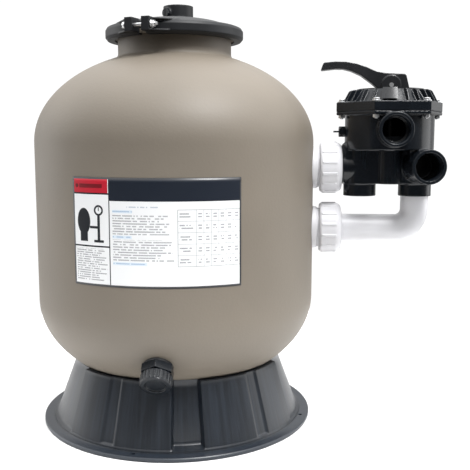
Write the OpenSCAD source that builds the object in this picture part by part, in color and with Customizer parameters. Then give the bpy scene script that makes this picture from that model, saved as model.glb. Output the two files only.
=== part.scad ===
// Sand filter tank: a moulded tank on a fluted base, with a side-mounted multiport valve.
// Origin on the tank's axis at the floor. +Z up, -Y the label side, +X the valve side.
// Turns named phi are measured round the tank from -Y towards +X.

/* [Tank] */
// Outer radius of the tank's barrel
tank_r = 255; // [252:1:258]
// Wall thickness of the tank
tank_t = 5; // [4:0.5:6]
// Height of the barrel's lower edge
barrel_z0 = 230; // [228:1:232]
// Height of the barrel's upper edge
barrel_z1 = 512; // [510:1:514]
// Depth of the lower dome
low_dome_h = 168; // [166:1:170]
// Height of the upper dome
top_dome_h = 167; // [165:1:169]
// Outer radius of the neck
neck_r = 103; // [101:1:104]

/* [Lid and clamp] */
// Radius of the two flanges that the clamp holds
flange_r = 117; // [116:0.5:118]
// Outer radius of the clamp band
clamp_r = 125; // [124:0.5:127]
// Turn of the clamp's visible split
clamp_phi = -18.5; // [-40:0.5:-10]
// Height of the top of the lid's boss
boss_top = 757; // [750:1:762]

/* [Label] */
// Half of the angle that the label covers
label_half = 31.8; // [25:0.1:35]
// Height of the label's lower edge
label_z0 = 287; // [280:1:300]
// Height of the label's upper edge
label_z1 = 460; // [440:1:470]

/* [Base] */
// Radius of the foot flange
foot_r = 252; // [248:1:256]
// Thickness of the foot flange
foot_t = 7; // [6:0.5:8]
// Radius of a raised panel where it meets the flange
skirt_r0 = 233.5; // [231:0.5:235]
// Radius of a raised panel at the top
skirt_r1 = 200; // [199:0.5:203]
// Height of the skirt
skirt_h = 118; // [116:1:120]
// Circle of the floor bolts, diameter
floor_pcd = 478; // [474:1:482]

/* [Unions] */
// Height of the upper union
union_z1 = 467; // [465:1:469]
// Height of the lower union
union_z0 = 356; // [354:1:358]
// Radius of the union thread
thread_r = 36; // [35:0.5:37]
// Outer radius of the pipe
pipe_r = 25; // [24.5:0.5:25.5]

/* [Valve] */
// Distance from the tank's axis to the valve's axis
valve_x = 392; // [391:0.5:393]
// Outer radius of the valve's body
body_r = 80; // [79:0.5:81]
// Corner radius of the six-sided lid
hex_r = 98; // [96:0.5:100]
// Bore radius of the outer ports
port_r = 24.2; // [23.8:0.1:24.5]

/* [Hidden] */
$fn = 96;

taupe = [0.57, 0.54, 0.49];
dark_grey = [0.27, 0.28, 0.29];
near_black = [0.09, 0.10, 0.11];
pvc_white = [0.93, 0.93, 0.94];
zinc = [0.75, 0.76, 0.76];
rubber_black = [0.05, 0.05, 0.05];

neck_bore = 96;
flange_z0 = 697;
flange_z1 = 704;
lid_oring_r = 108;
lid_z0 = 704.3;
lid_z1 = 712;
clamp_z0 = 694;
clamp_z1 = 718;
clamp_gap = 3.5;
boss_x = 7;
side_phi = -38;
side_z = 743;

hole_r = 30.3;
tail_r = 30;
bulk_bore = 24;
oring_r = 29;
oring_t = 1.5;
oring_x = 288.8;
gasket_r = 35;
gasket_x1 = 258;
nut_x0 = 267;
nut_x1 = 306.4;
collar_x0 = 290.3;
collar_x1 = 296;
bend_r = 35;
elbow_x = 440.5;
stub_x = 340.5;

floor_z = 500;
seat_z = 508;
chamber_r = 72;
body_top = 561;
hex_z0 = 567;
hex_z1 = 584;
lid_top = 606;
hex_phi = -22.5;
bolt_ring = 88;
pump_z = 535;
side_port_z = 471;
return_phi = 7;
pin_z = 615;
stem_r = 9;
rotor_z = 511.3;
shoulder_z = 560;
spring_z1 = 596.7;

drain_a = 28;
drain_r = tank_r * cos(drain_a);
drain_z = barrel_z0 - low_dome_h * sin(drain_a);
drain_tilt = atan((sin(drain_a) / low_dome_h) / (cos(drain_a) / tank_r));

function arc(cx, cz, rx, rz, a0, a1, n) =
    [for (i = [0 : n]) let (a = a0 + (a1 - a0) * i / n) [cx + rx * cos(a), cz + rz * sin(a)]];

// turns a shape drawn on +X to the angle phi
module at_phi(phi) {
    rotate([0, 0, phi - 90]) children();
}

// a ring or a disc lying flat
module ring(r_out, r_in, z0, z1) {
    difference() {
        translate([0, 0, z0]) cylinder(r = r_out, h = z1 - z0);
        translate([0, 0, z0 - 1]) cylinder(r = r_in, h = z1 - z0 + 2);
    }
}

module torus(r, t, z) {
    translate([0, 0, z]) rotate_extrude() translate([r, 0]) circle(r = t, $fn = 24);
}

// points local +Z along +X at height z
module along_x(z) {
    translate([0, 0, z]) rotate([0, 90, 0]) children();
}

// local +Z leaves the tank square to the lower dome, from z = 0 on the wall
module at_drain() {
    translate([0, -drain_r, drain_z]) rotate([90 + drain_tilt, 0, 0]) children();
}

module at_clamp_ends() {
    for (s = [0, 180]) at_phi(clamp_phi + s) children();
}

module at_lid_bolts() {
    translate([valve_x, 0, 0])
        for (k = [0 : 5]) at_phi(hex_phi + 60 * k) translate([bolt_ring, 0, 0]) children();
}

// the smooth outer form of the tank, for parts that bear on it
module tank_form() {
    tank_solid($fn = 720);
}

// ---------- tank ----------

function neck_angle(r, rx) = acos(r / rx);

function tank_outline(t, z_top, r_neck) = concat(
    arc(0, barrel_z0, tank_r - t, low_dome_h - t, -90, 0, 20),
    arc(0, barrel_z1, tank_r - t, top_dome_h - t, 0, neck_angle(r_neck, tank_r - t), 16),
    [[r_neck, z_top]]);

module tank_solid() {
    rotate_extrude() polygon(concat(tank_outline(0, flange_z0, neck_r), [[0, flange_z0]]));
}

module tank_shell() {
    color(taupe) difference() {
        union() {
            tank_solid();
            ring(flange_r, neck_bore, flange_z0, flange_z1);
        }
        rotate_extrude()
            polygon(concat(tank_outline(tank_t, flange_z1 + 1, neck_bore), [[0, flange_z1 + 1]]));
        ring(lid_oring_r + 2, lid_oring_r - 2, flange_z1 - 2.8, flange_z1 + 1);
        for (z = [union_z0, union_z1])
            translate([tank_r - 40, 0, 0]) along_x(z) cylinder(r = hole_r, h = 60);
        at_drain() translate([0, 0, -30]) cylinder(r = 17, h = 60);
    }
}

module label() {
    label_t = 0.4;
    color("white") rotate([0, 0, -90 - label_half]) rotate_extrude(angle = 2 * label_half)
        translate([tank_r, label_z0]) square([label_t, label_z1 - label_z0]);
}

// ---------- base ----------

groove_half = 6.5;
channel_mid = 35;
channel_half = 3;
panel_end = 58;
groove_d = 14;
channel_d = 3;
recess_d = 9;
skirt_t = 4;
skirt_phi = 12;

// radius of the raised panels at height z
function skirt_r(z) = skirt_r0 + (skirt_r1 - skirt_r0) * (z - foot_t) / (skirt_h - foot_t);

// a wedge of a cone wall between two depths below the raised panels
module skirt_wedge(phi, half, d_out, d_in, z0, z1) {
    rotate([0, 0, phi - 90 - half]) rotate_extrude(angle = 2 * half)
        polygon([
            [skirt_r(z0) - d_in, z0], [skirt_r(z0) - d_out, z0],
            [skirt_r(z1) - d_out, z1], [skirt_r(z1) - d_in, z1]]);
}

module base_skirt() {
    over = 1;
    wall_deg = 1.1;
    deep = groove_d + skirt_t;
    recess_half = 90 - panel_end;
    panel_mid = (groove_half + panel_end) / 2;
    panel_half = (panel_end - groove_half) / 2;
    foot_band = 1;
    pocket_z = foot_t + 4.5;
    ledge_z = skirt_h - 7;
    color(near_black) difference() {
        union() {
            cylinder(r = foot_r, h = foot_t);
            rotate_extrude() polygon([
                [skirt_r(foot_t) - deep, 0], [skirt_r(foot_t) + foot_band, 0],
                [skirt_r(foot_t) + foot_band, foot_t + 3], [skirt_r(foot_t + 9), foot_t + 9],
                [skirt_r(skirt_h), skirt_h], [skirt_r(skirt_h) - deep, skirt_h]]);
        }
        rotate_extrude() polygon([
            [0, -1], [skirt_r(foot_t) - deep, -1], [skirt_r(foot_t) - deep, foot_t],
            [skirt_r(skirt_h + 1) - deep, skirt_h + 1], [0, skirt_h + 1]]);
        for (k = [0, 1]) {
            g = skirt_phi + 180 * k;
            skirt_wedge(g, groove_half, -10, groove_d, pocket_z, skirt_h + over);
            skirt_wedge(g + 90, recess_half, -10, recess_d, pocket_z, skirt_h + over);
            skirt_wedge(g + 90, recess_half - wall_deg, recess_d + skirt_t, deep + 2, -over, ledge_z);
            for (s = [-1, 1]) {
                skirt_wedge(g + s * channel_mid, channel_half, -10, channel_d, pocket_z, skirt_h + over);
                skirt_wedge(g + s * panel_mid, panel_half - wall_deg, channel_d + skirt_t, deep + 2, -over, ledge_z);
            }
        }
        for (k = [0 : 3])
            at_phi(skirt_phi + 68 + 90 * k) translate([floor_pcd / 2, 0, -1]) cylinder(r = 3.5, h = foot_t + 2);
        tank_solid();
    }
}

// ---------- lid and clamp ----------

module dome_lid() {
    wall = 6;
    dome_r = 108;
    rise = 23;
    boss_r = 27;
    plug_r = 13;
    color(dark_grey) difference() {
        union() {
            translate([0, 0, lid_z0]) cylinder(r = flange_r, h = lid_z1 - lid_z0);
            translate([0, 0, 690]) cylinder(r = neck_bore - 0.3, h = 15);
            rotate_extrude() polygon(concat([[0, lid_z1 - 1], [dome_r, lid_z1 - 1]],
                arc(0, lid_z1, dome_r, rise, 0, 90, 12)));
            translate([boss_x, 0, lid_z1]) cylinder(r = boss_r, h = boss_top - lid_z1);
            at_side_port() cylinder(r = 9, h = boss_r + 1.5);
        }
        translate([0, 0, 689]) cylinder(r = neck_bore - wall, h = 16);
        rotate_extrude() polygon(concat([[0, 700], [neck_bore - wall, 700], [neck_bore - wall, lid_z1 - 3]],
            arc(0, lid_z1 - 3, neck_bore - wall, rise - 4, 0, 90, 12)));
        translate([boss_x, 0, boss_top - 12]) cylinder(r = plug_r, h = 13);
        translate([boss_x, 0, 700]) cylinder(r = 7, h = 60);
        at_side_port() cylinder(r = 3, h = 40);
        at_side_port() translate([0, 0, boss_r - 8]) cylinder(r = 6, h = 20);
    }
}

module at_side_port() {
    translate([boss_x, 0, side_z]) at_phi(side_phi) rotate([0, 90, 0]) children();
}

module lid_oring() {
    color(rubber_black) torus(lid_oring_r, 1.5, flange_z1 - 1.2);
}

// a flat web from a lug back along the band, on side s, with its inner edge at r
module gusset(s, r) {
    linear_extrude(height = 2.6) polygon([
        [r, -s], [139, -s], [139, -14 * s], [r * cos(28), -r * s * sin(28)], [r * cos(14), -r * s * sin(14)]]);
}

// one half of the clamp band, centred on phi, with a lug at each end
module clamp_half(phi) {
    leg = 2.9;
    lug_t = 15;
    lug_z0 = 697;
    lug_z1 = 720;
    half = 90 - clamp_gap;
    color(dark_grey) difference() {
        union() {
            rotate([0, 0, phi - 90 - half]) rotate_extrude(angle = 2 * half) polygon([
                [108, clamp_z0], [clamp_r - 4, clamp_z0], [clamp_r, clamp_z0 + 5],
                [clamp_r, clamp_z1 - 7], [clamp_r - 3, clamp_z1 - 2], [clamp_r - 8, clamp_z1],
                [110, clamp_z1], [110, lid_z1], [flange_r + 0.2, lid_z1],
                [flange_r + 0.2, clamp_z0 + leg], [108, clamp_z0 + leg]]);
            for (s = [-1, 1]) at_phi(phi + s * half)
                translate([flange_r + 0.5, s > 0 ? -lug_t : 0.2, lug_z0])
                    cube([24, lug_t - 0.2, lug_z1 - lug_z0]);
            for (s = [-1, 1]) at_phi(phi + s * half) {
                translate([0, 0, lug_z0 + 0.4]) gusset(s, 121);
                translate([0, 0, 715.8]) gusset(s, 118.5);
            }
        }
        at_clamp_bolt() cylinder(r = 3.3, h = 60, center = true);
    }
}

module clamp_half_right() {
    clamp_half(clamp_phi + 90);
}

module clamp_half_left() {
    clamp_half(clamp_phi - 90);
}

// the lug bolts lie across the splits, local +Z along the bolt
module at_clamp_bolt() {
    at_clamp_ends() translate([132, 0, 708]) rotate([-90, 0, 0]) children();
}

clamp_grip = 24;

module clamp_bolts() {
    color(zinc) at_clamp_bolt() {
        translate([0, 0, -clamp_grip - 1.5]) cylinder(r = 3, h = 2 * clamp_grip + 12);
        translate([0, 0, -clamp_grip - 6]) cylinder(r = 6, h = 4.6, $fn = 6);
    }
}

module clamp_nuts() {
    color(zinc) at_clamp_bolt() difference() {
        translate([0, 0, clamp_grip + 1.6]) cylinder(r = 6, h = 5, $fn = 6);
        cylinder(r = 3.02, h = 60);
    }
}

module clamp_washers() {
    color(zinc) at_clamp_bolt() {
        ring(7.5, 3.2, clamp_grip, clamp_grip + 1.5);
        ring(7.5, 3.2, -clamp_grip - 1.35, -clamp_grip);
    }
}

module gauge_port_plug() {
    color(near_black) translate([boss_x, 0, 0]) difference() {
        translate([0, 0, boss_top - 11.5]) cylinder(r = 12.95, h = 11);
        translate([0, 0, boss_top - 7]) cylinder(r = 6, h = 8, $fn = 6);
    }
}

module air_relief_screw() {
    color(near_black) at_side_port() difference() {
        union() {
            translate([0, 0, 20]) cylinder(r = 5.95, h = 9);
            translate([0, 0, 29]) cylinder(r = 7.6, h = 4);
        }
        translate([-10, -1, 31]) cube([20, 2, 4]);
    }
}

// ---------- unions and pipe ----------

module bulkhead(z) {
    color(pvc_white) difference() {
        along_x(z) rotate_extrude() polygon([
            [bulk_bore, 222], [hole_r - 0.3, 222], [hole_r - 0.3, gasket_x1], [gasket_r + 0.1, gasket_x1],
            [gasket_r + 0.1, 248], [38.5, 248],
            [38.5, 261], [thread_r, 264], [thread_r, 290], [bulk_bore, 290]]);
        along_x(z) torus(oring_r, oring_t, oring_x);
        difference() {
            translate([0, 0, z - 60]) cylinder(r = tank_r + 0.1, h = 120, $fn = 720);
            along_x(z) cylinder(r = hole_r, h = 300);
        }
    }
}

module bulkhead_upper() {
    bulkhead(union_z1);
}

module bulkhead_lower() {
    bulkhead(union_z0);
}

module bulkhead_gaskets() {
    color(rubber_black) difference() {
        for (z = [union_z0, union_z1]) along_x(z) ring(gasket_r, 30.1, 248, gasket_x1);
        translate([0, 0, barrel_z0]) cylinder(r = tank_r, h = barrel_z1 - barrel_z0, $fn = 720);
    }
}

module bulkhead_locknuts() {
    color(pvc_white) for (z = [union_z0, union_z1]) difference() {
        translate([231, 0, 0]) along_x(z) cylinder(r = 44, h = 14.5, $fn = 6);
        translate([230, 0, 0]) along_x(z) cylinder(r = hole_r - 0.25, h = 20);
    }
}

module union_orings() {
    color(rubber_black) for (z = [union_z0, union_z1]) along_x(z) torus(oring_r, oring_t, oring_x);
}

module union_nut(z) {
    ribs = 14;
    nut_r = 45.5;
    color(pvc_white) along_x(z) difference() {
        union() {
            rotate_extrude() polygon(concat([
                [thread_r + 2, nut_x0], [nut_r - 2, nut_x0], [nut_r, nut_x0 + 3]],
                arc(nut_r - 9, nut_x1 - 12, 9, 12, 0, 90, 8),
                [[tail_r + 0.5, nut_x1], [tail_r + 0.5, nut_x1 - 5]]));
            for (k = [0 : ribs - 1]) rotate([0, 0, 360 / ribs * k])
                translate([nut_r - 2, -2, nut_x0 + 4]) cube([3.5, 4, 26]);
        }
        translate([0, 0, nut_x0 - 1]) cylinder(r = thread_r + 0.08, h = collar_x1 + 0.4 - nut_x0 + 1);
        translate([0, 0, nut_x0 - 1]) cylinder(r = tail_r + 0.5, h = 60);
    }
}

module union_nut_upper() {
    union_nut(union_z1);
}

module union_nut_lower() {
    union_nut(union_z0);
}

// the collar that a union nut pulls against the bulkhead
function collar_points() = [[20, collar_x0], [33, collar_x0], [33, collar_x1], [tail_r, collar_x1]];

module union_tail() {
    color(pvc_white) along_x(union_z1) rotate_extrude() polygon(concat(collar_points(), [
        [tail_r, nut_x1 + 0.3], [port_r, nut_x1 + 0.3], [port_r, 321], [20, 321]]));
}

module elbow_pipe() {
    bore = 22;
    bend_x = elbow_x - bend_r;
    color(pvc_white) difference() {
        union() {
            along_x(union_z0) rotate_extrude()
                polygon(concat([[0, collar_x0]], collar_points(),
                    [[tail_r, 308], [pipe_r, 309], [pipe_r, bend_x], [0, bend_x]]));
            translate([bend_x, 0, union_z0 + bend_r]) rotate([90, 0, 0]) rotate([0, 0, -90])
                rotate_extrude(angle = 90) translate([bend_r, 0]) circle(r = pipe_r);
            translate([elbow_x, 0, union_z0 + bend_r]) cylinder(r = pipe_r, h = 440 - union_z0 - bend_r);
        }
        translate([collar_x0 - 1, 0, 0]) along_x(union_z0) cylinder(r = bore, h = bend_x - collar_x0 + 1);
        translate([bend_x, 0, union_z0 + bend_r]) rotate([90, 0, 0]) rotate([0, 0, -90])
            rotate_extrude(angle = 90) translate([bend_r, 0]) circle(r = bore);
        translate([elbow_x, 0, union_z0 + bend_r]) cylinder(r = bore, h = 90);
    }
}

// ---------- valve ----------

body_z0 = 438;
stub_z0 = 415.6;
side_x0 = 307;
port_t = 6;

module at_valve() {
    translate([valve_x, 0, 0]) children();
}

// a port tube along -Y turned by phi, from the point (x, 0, z)
module port_tube(x, z, phi, r, y0, y1) {
    translate([x, 0, z]) at_phi(phi) rotate([0, 90, 0]) translate([0, 0, y0]) cylinder(r = r, h = y1 - y0);
}

module hex_plate(z0, z1) {
    at_valve() at_phi(hex_phi) translate([0, 0, z0]) cylinder(r = hex_r, h = z1 - z0, $fn = 6);
}

module valve_outer() {
    column_r = 31;
    at_valve() translate([0, 0, floor_z]) cylinder(r = body_r, h = body_top - floor_z + 1);
    hex_plate(body_top, hex_z0);
    for (x = [stub_x, elbow_x]) {
        translate([x, 0, body_z0]) cylinder(r = column_r, h = floor_z - body_z0 + 1);
        translate([x, 0, stub_z0]) cylinder(r = 29.5, h = body_z0 - stub_z0 + 1);
    }
    at_valve() translate([0, -16, body_z0]) cylinder(r = 24, h = floor_z - body_z0 + 1);
    translate([stub_x, -28, body_z0]) cube([elbow_x - stub_x, 56, floor_z - body_z0 + 1]);
    translate([side_x0, 0, 0]) along_x(union_z1) cylinder(r = 30, h = stub_x - side_x0);
    port_tube(valve_x - 1, pump_z, 0, port_r + port_t, 60, 101);
    port_tube(elbow_x - 1.5, side_port_z, return_phi, port_r + port_t, 0, 92);
    translate([elbow_x - 4.5, -40, side_port_z]) cylinder(r = 16, h = floor_z - side_port_z + 1);
}

// the flow windows in the valve's seat: x, y and radius
top_window = [349, -12, 12];
waste_window = [stub_x - 1.5, 14, 12];
bottom_window = [elbow_x, 0, 15];
return_window = [elbow_x - 4.5, -40, 11];

// a hole with a window's place and size
module window(w, z0, z1) {
    translate([w[0], w[1], z0]) cylinder(r = w[2], h = z1 - z0);
}

module valve_passages() {
    through = seat_z + 5;
    at_valve() translate([0, 0, seat_z]) cylinder(r = chamber_r, h = hex_z0 - seat_z + 1);
    at_valve() ring(78, 74, hex_z0 - 2.5, hex_z0 + 1);
    port_tube(valve_x - 1, pump_z, 0, port_r, 76, 110);
    port_tube(valve_x - 1, pump_z, 0, 20, 50, 110);
    port_tube(elbow_x - 1.5, side_port_z, return_phi, port_r, 30, 110);
    window(return_window, side_port_z, through);
    translate([side_x0 - 1, 0, 0]) along_x(union_z1) cylinder(r = port_r + 0.02, h = 15);
    translate([side_x0, top_window[1], 0]) along_x(union_z1)
        cylinder(r = top_window[2], h = top_window[0] - side_x0);
    window(top_window, union_z1, through);
    translate([stub_x, 0, stub_z0 - 1]) cylinder(r = port_r, h = 26);
    window(waste_window, stub_z0, through);
    translate([elbow_x, 0, stub_z0 - 1]) cylinder(r = pipe_r + 0.02, h = 26);
    window(bottom_window, stub_z0, through);
    at_lid_bolts() translate([0, 0, body_top - 2]) cylinder(r = 3.3, h = 20);
    at_lid_bolts() translate([0, 0, 550]) cylinder(r = 7, h = body_top - 550);
    translate([valve_x - body_r - 1, 0, 532]) rotate([0, 90, 0]) cylinder(r = 5, h = 20);
}

module valve_body() {
    color(near_black) difference() {
        valve_outer();
        valve_passages();
    }
}

module valve_body_plug() {
    plug_x = valve_x - body_r;
    color(near_black) translate([plug_x, 0, 532]) rotate([0, -90, 0]) {
        translate([0, 0, -6]) cylinder(r = 4.95, h = 7);
        translate([0, 0, 0.3]) cylinder(r = 9.5, h = 11, $fn = 6);
        translate([0, 0, 11]) cylinder(r = 1.6, h = 10);
    }
}

// where the position tab replaces the ribs
tab_phi = -8;
tab_half = 10;

// the smaller turn between two angles
function turn_gap(a, b) = abs((a - b + 540) % 360 - 180);

module valve_lid() {
    ribs = 24;
    color(near_black) difference() {
        union() {
            hex_plate(hex_z0, hex_z1);
            at_valve() rotate_extrude() polygon([
                [0, hex_z1 - 1], [77, hex_z1 - 1], [77, hex_z1], [61, lid_top], [0, lid_top]]);
            at_valve() translate([0, 0, lid_top - 1]) cylinder(r = 27, h = 3);
            for (k = [0 : ribs - 1])
                if (turn_gap(k * 360 / ribs, tab_phi) > tab_half)
                    at_valve() at_phi(k * 360 / ribs) rib();
        }
        at_valve() translate([0, 0, hex_z0 - 1]) cylinder(r = chamber_r, h = 13);
        at_valve() rotate_extrude() polygon([
            [0, hex_z0 + 11], [chamber_r, hex_z0 + 11], [chamber_r, hex_z0 + 14], [56, 600], [0, 600]]);
        at_valve() translate([0, 0, 590]) cylinder(r = stem_r + 0.06, h = 30);
        at_lid_bolts() translate([0, 0, hex_z0 - 1]) cylinder(r = 3.3, h = 20);
    }
}

// one upright rib on the lid's slope
module rib() {
    rotate([90, 0, 0]) translate([0, 0, -1.5]) linear_extrude(height = 3) polygon([
        [60, hex_z1 - 1], [84, hex_z1 - 1], [84, hex_z1 + 1], [74, lid_top - 2], [70, lid_top], [60, lid_top]]);
}

module valve_lid_oring() {
    color(rubber_black) at_valve() torus(76, 1.2, hex_z0 - 1.3);
}

module lid_screws() {
    color(zinc) at_lid_bolts() {
        translate([0, 0, 554]) cylinder(r = 3, h = 33);
        translate([0, 0, hex_z1 + 1.5]) cylinder(r = 5.5, h = 4);
    }
}

module lid_washers() {
    color(zinc) at_lid_bolts() ring(8, 3.2, hex_z1, hex_z1 + 1.5);
}

module lid_nuts() {
    color(zinc) at_lid_bolts() difference() {
        translate([0, 0, body_top - 5.2]) cylinder(r = 6, h = 5, $fn = 6);
        cylinder(r = 3.02, h = 600);
    }
}

module position_ring() {
    color(dark_grey) at_valve() {
        ring(60, 28, lid_top, lid_top + 1.6);
        rotate([0, 0, tab_phi - 90 - tab_half]) rotate_extrude(angle = 2 * tab_half) polygon([
            [60, lid_top], [69, lid_top], [79.5, hex_z1 + 4], [81.5, hex_z1 + 4],
            [71.5, lid_top + 1.6], [60, lid_top + 1.6]]);
    }
}

module spider_gasket() {
    color(rubber_black) difference() {
        at_valve() translate([0, 0, seat_z]) cylinder(r = chamber_r - 0.5, h = 3);
        for (w = [top_window, waste_window, bottom_window, return_window]) window(w, seat_z - 1, seat_z + 4);
    }
}

module slip_washer() {
    color(pvc_white) at_valve() ring(18, stem_r + 0.3, 597, 599.7);
}

// a round wire wound in a helix, as rings joined side to side
module coil(r, wire, turns, z0, z1) {
    per_turn = 20;
    sides = 8;
    n = turns * per_turn;
    step = (z1 - z0 - 2 * wire) / n;
    points = [for (i = [0 : n], j = [0 : sides - 1])
        let (a = 360 * i / per_turn, b = 360 * j / sides, q = r + wire * cos(b))
        [q * cos(a), q * sin(a), z0 + wire + step * i + wire * sin(b)]];
    walls = [for (i = [0 : n - 1], j = [0 : sides - 1])
        let (k = (j + 1) % sides)
        [i * sides + j, i * sides + k, (i + 1) * sides + k, (i + 1) * sides + j]];
    first = [for (j = [sides - 1 : -1 : 0]) j];
    last = [for (j = [0 : sides - 1]) n * sides + j];
    polyhedron(points = points, faces = concat(walls, [first, last]));
}

module spring() {
    color(zinc) at_valve() coil(13, 1.8, 6, shoulder_z + 0.3, spring_z1);
}

module rotor() {
    color(near_black) at_valve() difference() {
        union() {
            translate([0, 0, rotor_z]) cylinder(r = 69, h = 12);
            translate([0, 0, rotor_z]) cylinder(r = 18, h = shoulder_z - rotor_z);
            translate([0, 0, shoulder_z - 1]) cylinder(r = stem_r, h = 625 - shoulder_z + 1);
            for (k = [0 : 5]) at_phi(30 + 60 * k) translate([0, -2, rotor_z + 11]) cube([66, 4, 14]);
        }
        translate([50, 0, rotor_z - 1]) cylinder(r = 13, h = 30);
        translate([-45, 8, rotor_z - 1]) cylinder(r = 17, h = 9);
        translate([0, -40, rotor_z - 1]) cylinder(r = 17, h = 9);
        translate([0, 0, pin_z]) rotate([90, 0, 0]) cylinder(r = 4, h = 40, center = true);
    }
}

module handle_pin() {
    color(zinc) at_valve() translate([0, 0, pin_z]) rotate([90, 0, 0])
        cylinder(r = 3.95, h = 32, center = true);
}

module handle() {
    heel_z = 608.5;
    width = 22;
    hub_w = 31;
    color(dark_grey) at_valve() difference() {
        union() {
            rotate([90, 0, 0]) translate([0, 0, -width / 2]) linear_extrude(height = width) polygon([
                [-22, heel_z], [-26, 611], [-36, 619], [-54, 632], [-72, 640], [-86, 643.4], [-100, 643.6],
                [-124.5, 641], [-125.5, 643], [-121.5, 654], [-119.5, 655.2], [-100, 657], [-81, 656.4],
                [-62, 653], [-44, 647], [-26, 639], [-9, 636.2], [24, 634.5], [27, 632], [33, heel_z]]);
            rotate([90, 0, 0]) translate([0, 0, -hub_w / 2]) linear_extrude(height = hub_w) polygon(concat(
                [[-17, heel_z], [17, heel_z]], arc(0, pin_z, 17, 17, 0, 180, 16)));
        }
        translate([-stem_r - 3, -stem_r - 0.3, 600]) cube([2 * stem_r + 11, 2 * stem_r + 0.6, 28.5]);
        translate([0, 0, pin_z]) rotate([90, 0, 0]) cylinder(r = 4.02, h = 60, center = true);
    }
}

// ---------- drain ----------

drain_stem_z = 29.5;

module drain_fitting() {
    color(near_black) at_drain() difference() {
        union() {
            translate([0, 0, -18]) cylinder(r = 16.8, h = 22);
            rotate([0, 0, 30]) translate([0, 0, 2]) cylinder(r = 28.5, h = 14.5, $fn = 6);
            translate([0, 0, 16]) cylinder(r = 18, h = drain_stem_z - 16);
        }
        translate([0, 0, -20]) cylinder(r = 12, h = 70);
    }
}

module drain_gasket() {
    color(rubber_black) difference() {
        at_drain() ring(25, 16.9, -5, 2);
        tank_form();
    }
}

module drain_strainer() {
    color(near_black) at_drain() difference() {
        union() {
            ring(25, 16.85, -17, -8);
            ring(20, 16.85, -50, -16);
            translate([0, 0, -53]) cylinder(r = 20, h = 4);
        }
        for (k = [0 : 3]) rotate([0, 0, 45 * k]) translate([-25, -1.5, -46]) cube([50, 3, 26]);
    }
}

module drain_cap_oring() {
    color(rubber_black) at_drain() torus(15, 1.2, drain_stem_z + 1.2);
}

module drain_cap() {
    ribs = 24;
    cap_z0 = 17.5;
    cap_z1 = 36.5;
    color(near_black) at_drain() difference() {
        union() {
            translate([0, 0, cap_z0]) cylinder(r = 25.4, h = cap_z1 - cap_z0);
            for (k = [0 : ribs - 1]) rotate([0, 0, 360 / ribs * k])
                translate([24, -1.2, cap_z0 + 1.5]) cube([2.6, 2.4, cap_z1 - cap_z0 - 4]);
        }
        translate([0, 0, cap_z0 - 1]) cylinder(r = 18.08, h = drain_stem_z + 3 - cap_z0 + 1);
        translate([0, 0, cap_z1 - 2.5]) cylinder(r = 17, h = 5);
    }
}

// ---------- inside the tank ----------

hub_z0 = 96;
hub_z1 = 134;

module inlet_pipe() {
    bore = 20;
    color(pvc_white) difference() {
        union() {
            along_x(union_z1) cylinder(r = bulk_bore, h = 240);
            translate([0, 0, union_z1]) sphere(r = bulk_bore);
            translate([0, 0, union_z1]) cylinder(r = bulk_bore, h = 123);
        }
        along_x(union_z1) cylinder(r = bore, h = 250);
        translate([0, 0, union_z1]) cylinder(r = bore, h = 130);
    }
}

module diffuser() {
    color(pvc_white) difference() {
        union() {
            translate([0, 0, 575]) cylinder(r = 29, h = 20);
            translate([0, 0, 592]) cylinder(r = 60, h = 6);
            translate([0, 0, 612]) cylinder(r = 60, h = 5);
            for (k = [0 : 11]) rotate([0, 0, 30 * k]) translate([50, -2, 596]) cube([10, 4, 18]);
        }
        translate([0, 0, 570]) cylinder(r = bulk_bore, h = 20);
        translate([0, 0, 580]) cylinder(r = 20, h = 25);
    }
}

module outlet_pipe() {
    bore = 20;
    color(pvc_white) difference() {
        union() {
            along_x(union_z0) cylinder(r = bulk_bore, h = 240);
            translate([0, 0, union_z0]) sphere(r = bulk_bore);
            translate([0, 0, hub_z1 - 14]) cylinder(r = bulk_bore, h = union_z0 - hub_z1 + 14);
        }
        along_x(union_z0) cylinder(r = bore, h = 250);
        translate([0, 0, hub_z1 - 20]) cylinder(r = bore, h = union_z0 - hub_z1 + 20);
    }
}

module lateral_hub() {
    color(pvc_white) difference() {
        translate([0, 0, hub_z0]) cylinder(r = 36, h = hub_z1 - hub_z0);
        translate([0, 0, hub_z1 - 14]) cylinder(r = bulk_bore, h = 20);
        translate([0, 0, hub_z0 + 6]) cylinder(r = 20, h = 50);
        for (k = [0 : 7]) rotate([0, 0, 22.5 + 45 * k]) translate([25, 0, hub_z0 + 15])
            rotate([0, 90, 0]) cylinder(r = 9, h = 30);
    }
}

module laterals() {
    slots = 7;
    color(pvc_white) for (k = [0 : 7]) rotate([0, 0, 22.5 + 45 * k]) translate([0, 0, hub_z0 + 15]) difference() {
        rotate([0, 90, 0]) translate([0, 0, 30]) cylinder(r = 9, h = 110);
        rotate([0, 90, 0]) translate([0, 0, 29]) cylinder(r = 6.5, h = 107);
        for (i = [0 : slots - 1]) translate([48 + 12 * i, -15, -1]) cube([1.5, 30, 20]);
    }
}

module air_tube() {
    color(pvc_white) translate([0, 32, hub_z1]) cylinder(r = 3, h = 438);
}

base_skirt();
tank_shell();
label();
dome_lid();
lid_oring();
clamp_half_right();
clamp_half_left();
clamp_bolts();
clamp_nuts();
clamp_washers();
gauge_port_plug();
air_relief_screw();
bulkhead_upper();
bulkhead_lower();
bulkhead_gaskets();
bulkhead_locknuts();
union_orings();
union_nut_upper();
union_nut_lower();
union_tail();
elbow_pipe();
valve_body();
valve_body_plug();
valve_lid();
valve_lid_oring();
lid_screws();
lid_washers();
lid_nuts();
position_ring();
spider_gasket();
slip_washer();
spring();
rotor();
handle_pin();
handle();
drain_fitting();
drain_gasket();
drain_strainer();
drain_cap_oring();
drain_cap();
inlet_pipe();
diffuser();
outlet_pipe();
lateral_hub();
laterals();
air_tube();
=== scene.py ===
from math import atan2, cos, hypot, pi, radians, sin, sqrt

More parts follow.
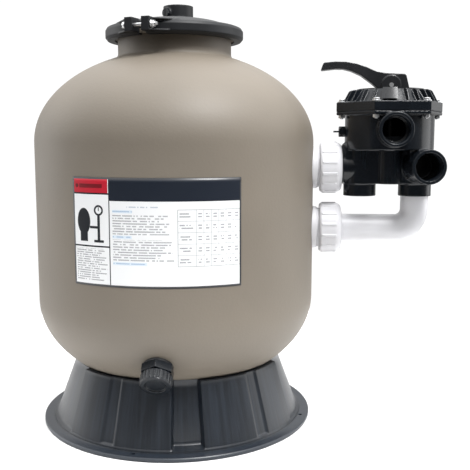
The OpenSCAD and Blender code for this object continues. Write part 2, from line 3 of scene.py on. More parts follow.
import bmesh
import bpy
from mathutils import Matrix, Vector


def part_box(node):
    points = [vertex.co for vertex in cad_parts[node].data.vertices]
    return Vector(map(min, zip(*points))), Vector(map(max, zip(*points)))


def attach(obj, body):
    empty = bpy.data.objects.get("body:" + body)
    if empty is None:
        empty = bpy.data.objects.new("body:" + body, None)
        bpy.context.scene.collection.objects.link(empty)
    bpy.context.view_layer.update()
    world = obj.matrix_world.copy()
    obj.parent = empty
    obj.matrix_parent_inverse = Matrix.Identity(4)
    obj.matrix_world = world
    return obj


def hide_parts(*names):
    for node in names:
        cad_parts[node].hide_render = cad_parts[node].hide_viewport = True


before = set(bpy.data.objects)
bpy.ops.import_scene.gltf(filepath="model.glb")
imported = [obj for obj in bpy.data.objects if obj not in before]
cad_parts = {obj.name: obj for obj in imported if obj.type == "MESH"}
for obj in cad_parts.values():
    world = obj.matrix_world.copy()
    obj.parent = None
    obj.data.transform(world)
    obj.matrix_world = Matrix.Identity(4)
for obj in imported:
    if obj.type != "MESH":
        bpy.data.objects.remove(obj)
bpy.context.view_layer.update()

# ---------- sizes, in metres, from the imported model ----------

tank_low, tank_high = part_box("tank_shell")
tank_r = min(tank_high.x, tank_high.y, -tank_low.x, -tank_low.y) - 0.0001
barrel_low = 0.230
barrel_high = 0.512
low_dome = barrel_low - tank_low.z
top_dome = 0.167
neck_r = 0.103
neck_bore = 0.096
flange_r = 0.117
flange_low = 0.697
flange_top = tank_high.z
tank_wall = 0.005

base_low, base_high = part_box("base_skirt")
foot_r = min(base_high.x, base_high.y, -base_low.x, -base_low.y) - 0.0001
foot_t = 0.007
skirt_top = base_high.z
skirt_r0 = 0.2335
skirt_r1 = 0.200
skirt_phi = 12.0
floor_hole_ring = 0.239

label_low, label_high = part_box("label")
label_half = 31.8
label_r = -label_low.y

valve_low, valve_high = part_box("valve_lid")
valve_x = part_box("slip_washer")[0].x / 2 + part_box("slip_washer")[1].x / 2
stub_x = 0.3405
elbow_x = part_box("elbow_pipe")[1].x - 0.025
union_high = sum(c.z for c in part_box("bulkhead_upper")) / 2
union_low = sum(c.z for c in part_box("bulkhead_lower")) / 2


# ---------- camera, light and floor ----------

def place_camera():
    """The camera stands a little to the valve's side of the label and looks slightly down."""
    distance = 1.3986
    bearing = radians(8.27)
    height = 0.5218
    data = bpy.data.cameras.new("camera")
    data.sensor_width = 36
    data.lens = 56.94
    camera = bpy.data.objects.new("camera", data)
    camera.location = (distance * sin(bearing), -distance * cos(bearing), height)
    camera.rotation_euler = (radians(90 - 7.49), 0, radians(3.753))
    bpy.context.scene.collection.objects.link(camera)
    bpy.context.scene.camera = camera


def soft_light(name, place, aim, width, height, watts):
    """One large soft panel, turned towards aim."""
    data = bpy.data.lights.new(name, "AREA")
    data.shape = "RECTANGLE"
    data.size = width
    data.size_y = height
    data.energy = watts
    light = bpy.data.objects.new(name, data)
    light.location = place
    light.rotation_euler = (Vector(aim) - Vector(place)).to_track_quat("-Z", "Y").to_euler()
    light.visible_camera = False
    bpy.context.scene.collection.objects.link(light)


def light_studio():
    """Soft panels at both sides and behind, and one smaller panel high on the right that casts the band's shadow."""
    middle = (0.1, 0, 0.4)
    soft_light("panel_left", (-2.2, 0.5, 0.9), middle, 1.4, 2.0, 17)
    soft_light("panel_right", (2.4, 0.4, 0.9), middle, 1.4, 2.0, 17)
    soft_light("panel_high", (1.0, -1.1, 2.5), (0.0, 0.0, 0.6), 0.7, 0.7, 66)


def fill_room():
    """The room's own light: bright above, white behind, dim in front, and white where it is seen directly."""
    world = bpy.data.worlds.new("room")
    world.use_nodes = True
    bpy.context.scene.world = world
    nodes, links = world.node_tree.nodes, world.node_tree.links

    def slope(socket, low, high, start, end):
        made = nodes.new("ShaderNodeMapRange")
        made.interpolation_type = "SMOOTHSTEP"
        links.new(socket, made.inputs["Value"])
        for name, value in (("From Min", low), ("From Max", high), ("To Min", start), ("To Max", end)):
            made.inputs[name].default_value = value
        return made.outputs[0]

    place = nodes.new("ShaderNodeTexCoord")
    split = nodes.new("ShaderNodeSeparateXYZ")
    links.new(place.outputs["Generated"], split.inputs[0])
    total = nodes.new("ShaderNodeMath")
    links.new(slope(split.outputs["Y"], -0.9, 0.3, 0.06, 0.6), total.inputs[0])
    links.new(slope(split.outputs["Z"], 0.2, 0.95, 0.0, 2.1), total.inputs[1])
    seen = nodes.new("ShaderNodeLightPath")
    choose = nodes.new("ShaderNodeMix")
    links.new(seen.outputs["Is Camera Ray"], choose.inputs[0])
    links.new(total.outputs[0], choose.inputs[2])
    choose.inputs[3].default_value = 1.05
    links.new(choose.outputs[0], nodes["Background"].inputs["Strength"])
    nodes["Background"].inputs["Color"].default_value = (1.0, 1.0, 1.0, 1.0)


place_camera()
light_studio()
fill_room()
bpy.context.scene.view_settings.view_transform = "Standard"


# ---------- materials ----------

class Wire:
    """A value on its way through a material's nodes. An expression on wires adds the maths nodes."""

    def __init__(self, look, socket):
        self.look = look
        self.socket = socket

    def maths(self, operation, *terms):
        return self.look.node("ShaderNodeMath", {"operation": operation}, dict(enumerate(terms)))

    def __add__(self, other):
        return self.maths("ADD", self, other)

    def __radd__(self, other):
        return self.maths("ADD", other, self)

    def __sub__(self, other):
        return self.maths("SUBTRACT", self, other)

    def __rsub__(self, other):
        return self.maths("SUBTRACT", other, self)

    def __mul__(self, other):
        return self.maths("MULTIPLY", self, other)

    def __rmul__(self, other):
        return self.maths("MULTIPLY", other, self)

    def __truediv__(self, other):
        return self.maths("DIVIDE", self, other)

    def __gt__(self, other):
        return self.maths("GREATER_THAN", self, other)

    def __lt__(self, other):
        return self.maths("LESS_THAN", self, other)

    def power(self, other):
        return self.maths("POWER", self, other)

    def highest(self, other):
        return self.maths("MAXIMUM", self, other)

    def floor(self):
        return self.maths("FLOOR", self)

    def fraction(self):
        return self.maths("FRACT", self)

    def size(self):
        return self.maths("ABSOLUTE", self)

    def sine(self):
        return self.maths("SINE", self)

    def within(self, low, high):
        """1 between low and high, and 0 outside."""
        return (self > low) * (self < high)

    def ramp(self, low, high, start=0.0, end=1.0):
        """Runs smoothly from start at low to end at high."""
        return self.look.node(
            "ShaderNodeMapRange", {"interpolation_type": "SMOOTHSTEP"},
            {"Value": self, "From Min": low, "From Max": high, "To Min": start, "To Max": end})


class Look:
    """A material being made: its nodes and its Principled shader."""

    def __init__(self, name):
        self.material = bpy.data.materials.new(name)
        self.material.use_nodes = True
        self.tree = self.material.node_tree
        self.shader = self.tree.nodes["Principled BSDF"]

    def node(self, kind, settings=None, inputs=None, out=0):
        """Adds one node, makes its settings, fills its sockets and gives one output."""
        made = self.tree.nodes.new(kind)
        for name, value in (settings or {}).items():
            setattr(made, name, value)
        for name, value in (inputs or {}).items():
            self.fill(made.inputs[name], value)
        return Wire(self, made.outputs[out])

    def fill(self, socket, value):
        if isinstance(value, Wire):
            self.tree.links.new(value.socket, socket)
        else:
            socket.default_value = value

    def set(self, **sockets):
        """Fills sockets of the shader, such as Base_Color for Base Color."""
        for name, value in sockets.items():
            self.fill(self.shader.inputs[name.replace("_", " ")], value)

    def place(self):
        return self.node("ShaderNodeTexCoord", out="Object")

    def stretched(self, place, scale):
        return self.node("ShaderNodeMapping", {"vector_type": "POINT"}, {"Vector": place, "Scale": scale})

    def parts(self, vector):
        """The x, y and z of a vector."""
        first = self.node("ShaderNodeSeparateXYZ", inputs={0: vector})
        outputs = first.socket.node.outputs
        return [Wire(self, outputs[i]) for i in range(3)]

    def noise(self, place, scale, detail=3.0, rough=0.5):
        return self.node(
            "ShaderNodeTexNoise", inputs={"Vector": place, "Scale": scale, "Detail": detail, "Roughness": rough})

    def cell(self, x, y):
        """A steady random number for each whole pair of x and y."""
        spot = self.node("ShaderNodeCombineXYZ", inputs={0: x, 1: y})
        return self.node("ShaderNodeTexWhiteNoise", {"noise_dimensions": "2D"}, {"Vector": spot})

    def mix(self, mask, low, high):
        """A colour that is low where mask is 0 and high where it is 1."""
        return self.node("ShaderNodeMix", {"data_type": "RGBA"}, {0: mask, 6: low, 7: high}, out=2)

    def bump(self, height, distance, strength=1.0):
        normal = self.node("ShaderNodeBump", inputs={"Height": height, "Distance": distance, "Strength": strength})
        self.set(Normal=normal)


def shade(colour, factor):
    """An opaque colour, lighter or darker by factor."""
    return tuple(min(1.0, c * factor) for c in colour) + (1.0,)


def tank_finish():
    """Rotomoulded taupe with an orange-peel grain, faint cloudiness and scuffs."""
    look = Look("tank_taupe")
    taupe = (0.172, 0.148, 0.118)
    place = look.place()
    clouds = look.noise(place, 5.0, 3.0, 0.55)
    specks = look.noise(place, 420.0, 2.0, 0.6)
    peel = look.noise(place, 230.0, 3.0, 0.55)
    drag = look.noise(look.stretched(place, (3.0, 3.0, 26.0)), 1.6, 3.0, 0.6)
    tone = look.mix(clouds.ramp(0.3, 0.7), shade(taupe, 0.95), shade(taupe, 1.05))
    tone = look.mix(specks.ramp(0.66, 0.8) * 0.35, tone, shade(taupe, 0.72))
    tone = look.mix(drag.ramp(0.62, 0.78) * 0.12, tone, shade(taupe, 1.25))
    look.set(Base_Color=tone, Roughness=0.46 + clouds * 0.16, Specular_IOR_Level=0.5)
    look.bump(peel, 0.00035, 0.7)
    return look.material


def moulded_finish(name, colour, rough=0.34, grain=0.00012, wear=0.25, flow=(1.0, 1.0, 0.25)):
    """Injection-moulded plastic with flow streaks, a fine grain and rubbed spots."""
    look = Look(name)
    place = look.place()
    streaks = look.noise(look.stretched(place, flow), 24.0, 4.0, 0.6)
    clouds = look.noise(place, 9.0, 2.0, 0.5)
    fine = look.noise(place, 700.0, 2.0, 0.6)
    dust = look.noise(place, 95.0, 5.0, 0.7)
    tone = look.mix(streaks.ramp(0.35, 0.7), shade(colour, 0.86), shade(colour, 1.14))
    tone = look.mix(dust.ramp(0.62, 0.75) * wear, tone, shade(colour, 1.9))
    look.set(Base_Color=tone, Roughness=rough - 0.06 + streaks * 0.1 + clouds * 0.06, Specular_IOR_Level=0.34)
    look.bump(fine, grain, 0.6)
    return look.material


def base_finish():
    """Blow-moulded black with satin drag marks that run up the panels, and a painted highlight that lightens the foot
    flange.
    """
    look = Look("base_black")
    black = (0.0075, 0.0105, 0.0155)
    place = look.place()
    x, y, z = look.parts(place)
    turn = x.maths("ARCTAN2", y, x)
    around = look.node("ShaderNodeCombineXYZ", inputs={0: turn * 9.0, 1: z * 1.4, 2: 0.0})
    drag = look.noise(around, 3.2, 5.0, 0.62)
    scuffs = look.noise(look.stretched(place, (1.0, 1.0, 0.2)), 60.0, 5.0, 0.7)
    fine = look.noise(place, 520.0, 2.0, 0.6)
    # Painted highlight: below the top of the foot flange the black is painted lighter, standing in for the light the
    # flange catches.
    foot = z.ramp(foot_t - 0.001, foot_t + 0.0015, 1.0, 0.0)
    tone = look.mix(drag.ramp(0.38, 0.68), shade(black, 0.8), shade(black, 1.5))
    tone = look.mix(scuffs.ramp(0.6, 0.78) * 0.35, tone, shade(black, 3.0))
    tone = look.mix(foot * 0.6, tone, shade(black, 2.6))
    look.set(Base_Color=tone, Roughness=0.26 + drag * 0.16 + scuffs * 0.06)
    look.bump(fine + drag * 2.0, 0.0002, 0.5)
    return look.material


def pvc_finish():
    """White pipe plastic, faintly cool, with fine circular drag and a little grime."""
    look = Look("pvc_white")
    white = (0.64, 0.64, 0.665)
    place = look.place()
    grime = look.noise(place, 55.0, 4.0, 0.65)
    clouds = look.noise(place, 12.0, 2.0, 0.5)
    fine = look.noise(place, 600.0, 2.0, 0.6)
    tone = look.mix(clouds.ramp(0.3, 0.7), shade(white, 0.96), shade(white, 1.03))
    tone = look.mix(grime.ramp(0.62, 0.8) * 0.3, tone, (0.52, 0.52, 0.52, 1.0))
    look.set(Base_Color=tone, Roughness=0.26 + clouds * 0.14)
    look.bump(fine, 0.00008, 0.5)
    return look.material


def rubber_finish():
    look = Look("rubber_black")
    rubber = (0.012, 0.012, 0.013)
    place = look.place()
    bloom = look.noise(place, 120.0, 3.0, 0.6)
    tone = look.mix(bloom.ramp(0.4, 0.75), shade(rubber, 1.0), shade(rubber, 2.2))
    look.set(Base_Color=tone, Roughness=0.62 + bloom * 0.2)
    look.bump(bloom, 0.0001, 0.6)
    return look.material


def zinc_finish():
    """Zinc-plated steel with a brushed turn and dull spots."""
    look = Look("zinc_steel")
    zinc = (0.78, 0.79, 0.80)
    place = look.place()
    brush = look.noise(look.stretched(place, (1.0, 1.0, 9.0)), 260.0, 4.0, 0.6)
    spots = look.noise(place, 140.0, 3.0, 0.6)
    tone = look.mix(spots.ramp(0.45, 0.75), shade(zinc, 1.0), shade(zinc, 0.62))
    look.set(Base_Color=tone, Metallic=0.92, Roughness=0.22 + spots * 0.22)
    look.bump(brush, 0.00006, 0.7)
    return look.material


class Print:
    """The label's print, drawn on x and y in millimetres from its lower left corner."""

    width = 2 * radians(label_half) * label_r * 1000
    height = (label_high.z - label_low.z) * 1000
    column = 70.4
    band = 136.5

    def __init__(self):
        self.look = Look("label_print")
        u, v, _ = self.look.parts(self.look.node("ShaderNodeTexCoord", out="UV"))
        self.x = u * self.width
        self.y = v * self.height
        self.tone = (0.80, 0.81, 0.82, 1.0)

    def block(self, x0, x1, y0, y1):
        return self.x.within(x0, x1) * self.y.within(y0, y1)

    def disc(self, x, y, rx, ry):
        dx = (self.x - x) / rx
        dy = (self.y - y) / ry
        return dx * dx + dy * dy < 1.0

    def paint(self, mask, colour, strength=1.0):
        self.tone = self.look.mix(mask * strength, self.tone, tuple(colour) + (1.0,))

    def script(self, x0, x1, y0, y1, pitch, seed, ragged=0.25):
        """Rows of word-like dashes with ragged ends. No letter is drawn."""
        row = ((self.y - y0) / pitch).floor() + seed
        across = ((self.y - y0) / pitch).fraction()
        end = x1 - self.look.cell(row, seed * 3.1) * (x1 - x0) * ragged
        word = self.look.cell(((self.x + row * 1.7) / 2.3).floor(), row) > 0.2
        stroke = ((self.x + row) / 1.15).fraction() > 0.25
        return self.block(x0, x1, y0, y1) * (self.x < end) * across.within(0.3, 0.78) * word * stroke


def draw_column(label, ink, red):
    """The left column: a red block, a plain picture of a tank beside a dial on a post, and small script."""
    right = label.column
    label.paint(label.block(0, right + 1, 0, label.height), (0.80, 0.81, 0.82))
    label.paint(label.block(3, right - 2, 148.5, 170), red)
    label.paint(label.block(14, right - 12, 156.0, 162.5), shade(red, 0.35)[:3])
    label.paint(label.disc(9.0, 159.3, 3.2, 3.2), shade(red, 0.25)[:3])
    label.paint(label.block(0, right, 146.0, 148.5), ink)
    label.paint(label.disc(22.0, 103.0, 13.0, 21.0), ink)
    label.paint(label.block(14.5, 29.5, 71.0, 86.0), ink)
    label.paint(label.disc(51.0, 121.0, 8.5, 8.5), ink)
    label.paint(label.disc(51.0, 121.0, 5.4, 5.4), (0.80, 0.81, 0.82))
    label.paint(label.block(50.2, 51.8, 120.0, 126.0), ink)
    label.paint(label.block(48.6, 53.4, 71.0, 113.5), ink)
    label.paint(label.block(42.0, 60.0, 70.0, 74.0), ink)
    label.paint(label.block(34.0, 49.0, 92.0, 96.0), ink)
    label.paint(label.block(0, right, 62.5, 65.0), ink)
    label.paint(label.script(6, right - 4, 8, 60, 3.6, 4.0, 0.3), (0.06, 0.06, 0.08), 0.8)
    label.paint(label.block(right - 0.9, right + 0.9, 0, label.height), ink)


def draw_text(label, blue):
    """The middle block of script, with pale blue headings."""
    x0, x1 = 76.0, 176.0
    label.paint(label.script(x0, x1, 42.0, 117.0, 4.1, 11.0), (0.05, 0.05, 0.07), 0.75)
    label.paint(label.block(x0 - 1, x1 + 1, 76.5, 84.5), (0.80, 0.81, 0.82))
    for low, end in ((118.5, 33.0), (78.5, 32.0), (36.5, 56.0)):
        label.paint(label.block(x0, x0 + end, low - 0.6, low + 4.4), (0.55, 0.68, 0.80), 0.55)
        label.paint(label.script(x0, x0 + end, low, low + 3.8, 3.8, low, 0.0), blue, 0.7)
    label.paint(label.script(x0 + 24, x0 + 74, 125.5, 129.5, 4.0, 8.0, 0.0), (0.16, 0.22, 0.34), 0.7)


def draw_table(label):
    """The table on the right: one wide column, six narrow ones and five rows."""
    x0, x1, y0, y1 = 180.0, 281.0, 34.5, 124.0
    first = 29.0
    narrow = (x1 - x0 - first) / 6
    row = (y1 - y0) / 5
    inside = label.block(x0, x1, y0, y1)
    line = 0.34
    across = ((label.y - y0) / row).fraction()
    along = ((label.x - x0 - first) / narrow).fraction()
    rule = (across < line / row) + (across > 1 - line / row)
    post = ((along < line / narrow) + (along > 1 - line / narrow)) * (label.x > x0 + first - line)
    edge = inside - label.block(x0 + 2 * line, x1 - 2 * line, y0 + 2 * line, y1 - 2 * line)
    label.paint(inside * (rule + post).ramp(0.0, 1.0) * 0.75, (0.25, 0.26, 0.28))
    label.paint(edge, (0.18, 0.19, 0.20))
    words = label.script(x0 + 3, x0 + first - 3, y0, y1, row / 4, 21.0, 0.35)
    numbers = label.script(x0 + first, x1, y0, y1, row / 4, 31.0, 0.0) * along.within(0.25, 0.75)
    middle = across.within(0.25, 0.75)
    label.paint((words + numbers) * middle, (0.05, 0.05, 0.07), 0.8)


def label_finish():
    """Printed vinyl: black frame, dark band, a left column, script and a table, all generic."""
    label = Print()
    ink = (0.010, 0.012, 0.016)
    navy = (0.011, 0.015, 0.024)
    draw_text(label, (0.10, 0.24, 0.46))
    draw_table(label)
    draw_column(label, ink, (0.46, 0.012, 0.028))
    label.paint(label.block(label.column, label.width, label.band, label.height), navy)
    frame_mask = 1.0 - label.block(3.0, label.width - 3.0, 3.4, label.height - 3.0)
    label.paint(frame_mask, ink)
    look = label.look
    place = look.place()
    ripple = look.noise(place, 16.0, 2.0, 0.5)
    fine = look.noise(place, 400.0, 2.0, 0.6)
    look.set(Base_Color=label.tone, Roughness=0.24 + ripple * 0.16)
    look.bump(ripple + fine * 0.05, 0.0008, 0.35)
    return look.material


def floor_finish():
    look = Look("studio_floor")
    soft = look.noise(look.place(), 3.0, 2.0, 0.5)
    look.set(Base_Color=look.mix(soft, (0.93, 0.93, 0.93, 1.0), (0.95, 0.95, 0.95, 1.0)), Roughness=0.9)
    look.shader.inputs["Specular IOR Level"].default_value = 0.0
    return look.material


finishes = {
    "tank_taupe": tank_finish(),
    "label_print": label_finish(),
    "clamp_grey": moulded_finish("clamp_grey", (0.008, 0.009, 0.011), 0.46, 0.0002, 0.12),
    "base_black": base_finish(),
    "valve_black": moulded_finish("valve_black", (0.0065, 0.0085, 0.0115), 0.2, 0.00006, 0.12),
    "handle_grey": moulded_finish("handle_grey", (0.018, 0.019, 0.021), 0.24, 0.0001, 0.15),
    "pvc_white": pvc_finish(),
    "rubber_black": rubber_finish(),
    "zinc_steel": zinc_finish(),
}


# ---------- making pieces ----------

def new_piece(name, mesh, finish, body, *nodes):
    """Links a mesh as one piece of the object, in its finish and on its body, in place of these nodes."""
    piece = bpy.data.objects.new(name, mesh)
    bpy.context.scene.collection.objects.link(piece)
    piece.data.materials.clear()
    piece.data.materials.append(finishes[finish])
    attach(piece, body)
    if nodes:
        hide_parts(*nodes)
    return piece


def mesh_of(bm, name, smooth_angle=35.0):
    """The finished mesh: doubles merged, normals outwards, smooth except across sharp edges."""
    bmesh.ops.remove_doubles(bm, verts=bm.verts, dist=1e-6)
    bmesh.ops.recalc_face_normals(bm, faces=bm.faces)
    limit = radians(smooth_angle)
    for face in bm.faces:
        face.smooth = True
    for edge in bm.edges:
        edge.smooth = not (edge.is_manifold and edge.calc_face_angle(0.0) > limit)
    mesh = bpy.data.meshes.new(name)
    bm.to_mesh(mesh)
    bm.free()
    return mesh


def spun(bm, profile, steps=192, centre=(0, 0, 0), axis=(0, 0, 1), closed=False):
    """Turns a profile of (radius, height) points once round an upright axis through centre."""
    made = [bm.verts.new((centre[0] + r, centre[1], centre[2] + z)) for r, z in profile]
    edges = [bm.edges.new(pair) for pair in zip(made, made[1:])]
    if closed:
        edges.append(bm.edges.new((made[-1], made[0])))
    bmesh.ops.spin(bm, geom=made + edges, cent=centre, axis=axis, dvec=(0, 0, 0), angle=2 * pi,
                   steps=steps, use_merge=True)
    bmesh.ops.remove_doubles(bm, verts=bm.verts, dist=1e-6)


def node_copy(node):
    """A CAD node's shape with its triangles joined up and its flat faces made whole."""
    bm = bmesh.new()
    bm.from_mesh(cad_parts[node].data)
    bmesh.ops.remove_doubles(bm, verts=bm.verts, dist=2e-6)
    bmesh.ops.dissolve_limit(bm, angle_limit=radians(0.4), verts=bm.verts, edges=bm.edges, use_dissolve_boundaries=False)
    return bm


def weighted(piece):
    """Keeps flat faces flat to the light where an edge is rounded."""
    piece.modifiers.new("shading", "WEIGHTED_NORMAL").keep_sharp = True


def eased(name, node, finish, body, radius, segments=2, angle=28.0):
    """A CAD node's shape with its edges rounded by radius."""
    bm = node_copy(node)
    bmesh.ops.recalc_face_normals(bm, faces=bm.faces)
    sharp = [e for e in bm.edges if e.is_manifold and e.calc_face_angle(0.0) > radians(angle)]
    bmesh.ops.bevel(bm, geom=sharp, offset=radius, offset_type="OFFSET", affect="EDGES", segments=segments,
                    profile=0.5, material=-1, clamp_overlap=True)
    piece = new_piece(name, mesh_of(bm, name, 40.0), finish, body, node)
    weighted(piece)
    return piece


def applied(piece):
    """Works a piece's modifiers into its mesh."""
    graph = bpy.context.evaluated_depsgraph_get()
    mesh = bpy.data.meshes.new_from_object(piece.evaluated_get(graph))
    piece.modifiers.clear()
    piece.data = mesh
    piece.data.name = piece.name
    return piece


def cast(name, bm, finish, body, voxel, passes, *nodes):
    """Fuses overlapping closed shells into one moulded piece with soft inside and outside corners."""
    piece = new_piece(name, mesh_of(bm, name), finish, body, *nodes)
    fuse = piece.modifiers.new("fuse", "REMESH")
    fuse.mode = "VOXEL"
    fuse.voxel_size = voxel
    fuse.use_smooth_shade = True
    ease = piece.modifiers.new("ease", "SMOOTH")
    ease.factor = 0.5
    ease.iterations = passes
    return applied(piece)


# ---------- tank, label and base ----------

def quarter(rx, rz, z, start, end, count):
    """Points of an ellipse's arc about (0, z), from one angle to the other."""
    turns = [radians(start + (end - start) * i / count) for i in range(count + 1)]
    return [(rx * cos(t), z + rz * sin(t)) for t in turns]


def tank_profile(depth, neck, top):
    """The wall's profile, depth below the tank's outer face."""
    neck_angle = -(-1) * atan2(sqrt(1 - (neck / (tank_r - depth)) ** 2), neck / (tank_r - depth))
    low = quarter(tank_r - depth, low_dome - depth, barrel_low, -90, 0, 40)
    high = quarter(tank_r - depth, top_dome - depth, barrel_high, 0, neck_angle * 180 / pi, 34)
    return [(0.0, low[0][1])] + low[1:] + high + [(neck, top)]


def make_tank():
    """One closed wall from the foot to the neck's flange, turned in one go."""
    outside = tank_profile(0.0, neck_r, flange_low)
    inside = tank_profile(tank_wall, neck_bore, flange_top)
    lip = [(flange_r, flange_low), (flange_r, flange_top)]
    bm = bmesh.new()
    spun(bm, outside + lip + inside[::-1], 256)
    foot = [e for e in bm.edges if all(abs(hypot(*v.co.xy) - neck_r) < 1e-5 and v.co.z < flange_low - 0.01
                                       for v in e.verts)]
    bmesh.ops.bevel(bm, geom=foot, offset=0.006, offset_type="OFFSET", affect="EDGES", segments=5,
                    profile=0.5, material=-1)
    new_piece("tank_wall", mesh_of(bm, "tank_wall", 50.0), "tank_taupe", "filter", "tank_shell")


def make_label():
    """A thin vinyl sheet laid round the barrel, with its own UV map for the print."""
    columns, rows = 96, 24
    bm = bmesh.new()
    bmesh.ops.create_grid(bm, x_segments=columns, y_segments=rows, size=0.5)
    uv = bm.loops.layers.uv.new("print")
    for face in bm.faces:
        for loop in face.loops:
            loop[uv].uv = (loop.vert.co.x + 0.5, loop.vert.co.y + 0.5)
    radius = label_r - 0.00022
    for vert in bm.verts:
        phi = radians(label_half) * 2 * vert.co.x
        height = label_low.z + (label_high.z - label_low.z) * (vert.co.y + 0.5)
        vert.co = (radius * sin(phi), -radius * cos(phi), height)
    piece = new_piece("label_sheet", mesh_of_open(bm, "label_sheet"), "label_print", "filter", "label")
    skin = piece.modifiers.new("vinyl", "SOLIDIFY")
    skin.thickness = 0.0002
    skin.offset = 1.0


def mesh_of_open(bm, name):
    """The mesh of an open sheet that faces away from the tank's axis."""
    for face in bm.faces:
        face.smooth = True
        if face.normal.dot(face.calc_center_median() * Vector((1, 1, 0))) < 0:
            face.normal_flip()
    mesh = bpy.data.meshes.new(name)
    bm.to_mesh(mesh)
    bm.free()
    return mesh


def eased_step(value, low, high):
    """0 below low and 1 above high, smooth between."""
    t = min(1.0, max(0.0, (value - low) / (high - low)))
    return t * t * (3 - 2 * t)


def flute_depth(phi, rise):
    """How far the skirt's wall lies below its raised panels, at the turn phi and from 0 to 1 up the wall."""
    soft = 0.5
    turn = abs((phi - skirt_phi + 90) % 180 - 90)
    groove = 0.014 * (1 - eased_step(turn, 6.5 - soft, 6.5 + soft))
    channel = 0.003 * (eased_step(turn, 32 - soft, 32 + soft) - eased_step(turn, 38 - soft, 38 + soft))
    side = (0.004 + 0.007 * rise) * eased_step(turn, 58 - soft, 58 + soft)
    return groove + channel + side


def skirt_r(z):
    """Radius of the raised panels at the height z."""
    return skirt_r0 + (skirt_r1 - skirt_r0) * (z - foot_t) / (skirt_top - foot_t)


def make_base():
    """The fluted skirt and its foot flange: a turned wall whose panels are pushed in."""
    steps = 720
    sill = foot_t + 0.0045
    wall = 0.018
    heights = [foot_t + 0.0012, foot_t + 0.003, sill - 0.0004, sill + 0.0008, sill + 0.0022, sill + 0.004, sill + 0.007]
    rise = [sill + 0.012 + (skirt_top - 0.0014 - sill - 0.012) * i / 14 for i in range(15)]
    outside = [(skirt_r(z) + (0.001 if z < sill else 0.0), z) for z in heights + rise]
    top_r = skirt_r(skirt_top)
    seat_r = tank_r * sqrt(1 - ((barrel_low - skirt_top) / low_dome) ** 2)
    profile = [(skirt_r0 - wall, 0.0), (foot_r - 0.0014, 0.0), (foot_r, 0.0014), (foot_r, foot_t - 0.0014),
               (foot_r - 0.0014, foot_t), (skirt_r0 + 0.003, foot_t)] + outside + [
               (top_r - 0.0012, skirt_top), (seat_r + 0.0004, skirt_top), (seat_r - 0.004, skirt_top - 0.006),
               (skirt_r0 - wall, foot_t + 0.02)]
    bm = bmesh.new()
    spun(bm, profile, steps, closed=True)
    for vert in bm.verts:
        radius = hypot(vert.co.x, vert.co.y)
        rim = skirt_r(vert.co.z)
        if vert.co.z < sill - 0.001 or radius < rim - 0.0035:
            continue
        phi = atan2(vert.co.x, -vert.co.y) * 180 / pi
        rise = (vert.co.z - sill) / (skirt_top - sill)
        push = flute_depth(phi, rise) * eased_step(vert.co.z, sill - 0.0006, sill + 0.0032)
        limit = seat_r + 0.001 if vert.co.z > skirt_top - 0.0015 else 0.0
        scale = max(radius - push, limit) / radius
        vert.co.x *= scale
        vert.co.y *= scale
    piece = new_piece("fluted_base", mesh_of(bm, "fluted_base", 42.0), "base_black", "filter", "base_skirt")
    drill_foot(piece)


def drill_foot(piece):
    """Four bolt holes through the foot flange."""
    bm = bmesh.new()
    for quarter_turn in range(4):
        phi = radians(skirt_phi + 68 + 90 * quarter_turn)
        spot = Matrix.Translation((floor_hole_ring * sin(phi), -floor_hole_ring * cos(phi), foot_t / 2))
        bmesh.ops.create_cone(bm, cap_ends=True, segments=24, radius1=0.0035, radius2=0.0035, depth=0.02, matrix=spot)
    mesh = bpy.data.meshes.new("drill")
    bm.to_mesh(mesh)
    bm.free()
    drill = bpy.data.objects.new("drill", mesh)
    bpy.context.scene.collection.objects.link(drill)
    cut = piece.modifiers.new("holes", "BOOLEAN")
    cut.operation = "DIFFERENCE"
    cut.solver = "EXACT"
    cut.object = drill
    applied(piece)
    bpy.data.objects.remove(drill)
    bpy.data.meshes.remove(mesh)


make_tank()
make_label()
make_base()


# ---------- lid and clamp ----------

def make_lid():
    cast("tank_lid", node_copy("dome_lid"), "clamp_grey", "filter", 0.0013, 3, "dome_lid")
    for side in ("right", "left"):
        node = "clamp_half_" + side
        cast("clamp_band_" + side, node_copy(node), "clamp_grey", "filter", 0.0008, 2, node)


# ---------- unions and pipe ----------

def make_unions():
    cast("grip_nut_upper", node_copy("union_nut_upper"), "pvc_white", "upper_nut", 0.0007, 1, "union_nut_upper")
    cast("grip_nut_lower", node_copy("union_nut_lower"), "pvc_white", "lower_nut", 0.0007, 1, "union_nut_lower")


# ---------- valve ----------

def add_capsule(bm, x, y, low, high, radius):
    """An upright rounded post, to be fused into a casting."""
    height = high - low
    bmesh.ops.create_cone(bm, cap_ends=True, segments=48, radius1=radius, radius2=radius, depth=height,
                          matrix=Matrix.Translation((x, y, low + height / 2)))
    bmesh.ops.create_uvsphere(bm, u_segments=48, v_segments=24, radius=radius,
                              matrix=Matrix.Translation((x, y, high)))


def add_lip(bm, radius, wall, place):
    """A rounded ring at a port's mouth, to be fused into a casting. Its axis is the place's own Z."""
    lip = bmesh.new()
    ring = quarter(wall, wall, 0.0, 0, 345, 23)
    spun(lip, [(radius + r, z) for r, z in ring], 96, closed=True)
    bmesh.ops.recalc_face_normals(lip, faces=lip.faces)
    bmesh.ops.transform(lip, matrix=place, verts=lip.verts)
    mesh = bpy.data.meshes.new("lip")
    lip.to_mesh(mesh)
    lip.free()
    bm.from_mesh(mesh)
    bpy.data.meshes.remove(mesh)


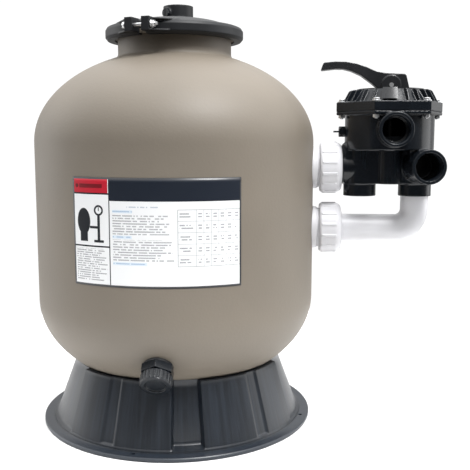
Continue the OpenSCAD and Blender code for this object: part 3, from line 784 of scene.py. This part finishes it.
def make_valve():
    case = node_copy("valve_body")
    add_capsule(case, 0.3185, -0.012, 0.470, 0.5005, 0.0145)
    for x in (stub_x, elbow_x):
        add_lip(case, 0.0284, 0.0013, Matrix.Translation((x, 0, 0.4185)))
    mouth = Matrix.Translation((valve_x - 0.001, -0.0985, 0.535)) @ Matrix.Rotation(pi / 2, 4, "X")
    add_lip(case, 0.0284, 0.0021, mouth)
    cast("valve_case", case, "valve_black", "filter", 0.0011, 3, "valve_body")
    cast("valve_cover", node_copy("valve_lid"), "valve_black", "filter", 0.0009, 2, "valve_lid")
    cast("lever", node_copy("handle"), "handle_grey", "handle", 0.0009, 5, "handle")


def make_port_threads():
    """Ridges inside the two front ports."""
    pitch, turns, outer, inner = 0.0024, 8, 0.02425, 0.0232
    teeth = [(inner if i % 2 else outer - 0.0002, pitch * i / 2) for i in range(2 * turns + 1)]
    profile = [(outer + 0.0006, 0.0)] + teeth + [(outer + 0.0006, pitch * turns)]
    mouths = (
        ("threads_pump", (valve_x - 0.001, -0.101 + 0.004, 0.535), 0.0),
        ("threads_return", (elbow_x - 0.0015 + 0.088 * sin(radians(7)), -0.088 * cos(radians(7)), 0.471), 7.0))
    for name, spot, turn in mouths:
        bm = bmesh.new()
        spun(bm, profile, 96, closed=True)
        inwards = Matrix.Translation(spot) @ Matrix.Rotation(radians(turn), 4, "Z") @ Matrix.Rotation(-pi / 2, 4, "X")
        bmesh.ops.transform(bm, matrix=inwards, verts=bm.verts)
        new_piece(name, mesh_of(bm, name, 30.0), "valve_black", "filter")


def make_hardware():
    """Screws, washers and nuts with their edges eased."""
    eased("cover_screws", "lid_screws", "zinc_steel", "filter", 0.0008, 3)
    eased("cover_washers", "lid_washers", "zinc_steel", "filter", 0.0003)
    eased("cover_nuts", "lid_nuts", "zinc_steel", "filter", 0.0004)
    eased("band_bolts", "clamp_bolts", "zinc_steel", "filter", 0.0004)
    eased("band_nuts", "clamp_nuts", "zinc_steel", "filter", 0.0004)
    eased("band_washers", "clamp_washers", "zinc_steel", "filter", 0.0003)


def make_drain():
    eased("drain_hexagon", "drain_fitting", "valve_black", "filter", 0.0008, 2)
    cast("drain_knob", node_copy("drain_cap"), "valve_black", "drain_cap", 0.0006, 2, "drain_cap")


make_lid()
make_unions()
make_valve()
make_port_threads()
make_hardware()
make_drain()


# ---------- the nodes that stay ----------

kept = {
    "zinc_steel": ["handle_pin", "spring"],
    "rubber_black": ["lid_oring", "bulkhead_gaskets", "union_orings", "valve_lid_oring", "spider_gasket",
                     "drain_gasket", "drain_cap_oring"],
    "valve_black": ["gauge_port_plug", "air_relief_screw", "valve_body_plug", "drain_strainer", "rotor"],
    "handle_grey": ["position_ring"],
    "pvc_white": ["bulkhead_upper", "bulkhead_lower", "bulkhead_locknuts", "union_tail", "elbow_pipe", "slip_washer",
                  "inlet_pipe", "diffuser", "outlet_pipe", "lateral_hub", "laterals", "air_tube"],
}
for finish, names in kept.items():
    for name in names:
        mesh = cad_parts[name].data
        mesh.materials.clear()
        mesh.materials.append(finishes[finish])


def lay_floor():
    """A wide pale floor under everything."""
    bm = bmesh.new()
    bmesh.ops.create_circle(bm, cap_ends=True, segments=96, radius=0.9)
    bmesh.ops.translate(bm, verts=bm.verts, vec=(0, 0, -0.0005))
    mesh = bpy.data.meshes.new("floor")
    bm.to_mesh(mesh)
    bm.free()
    mesh.materials.append(floor_finish())
    floor = bpy.data.objects.new("floor", mesh)
    bpy.context.scene.collection.objects.link(floor)


lay_floor()
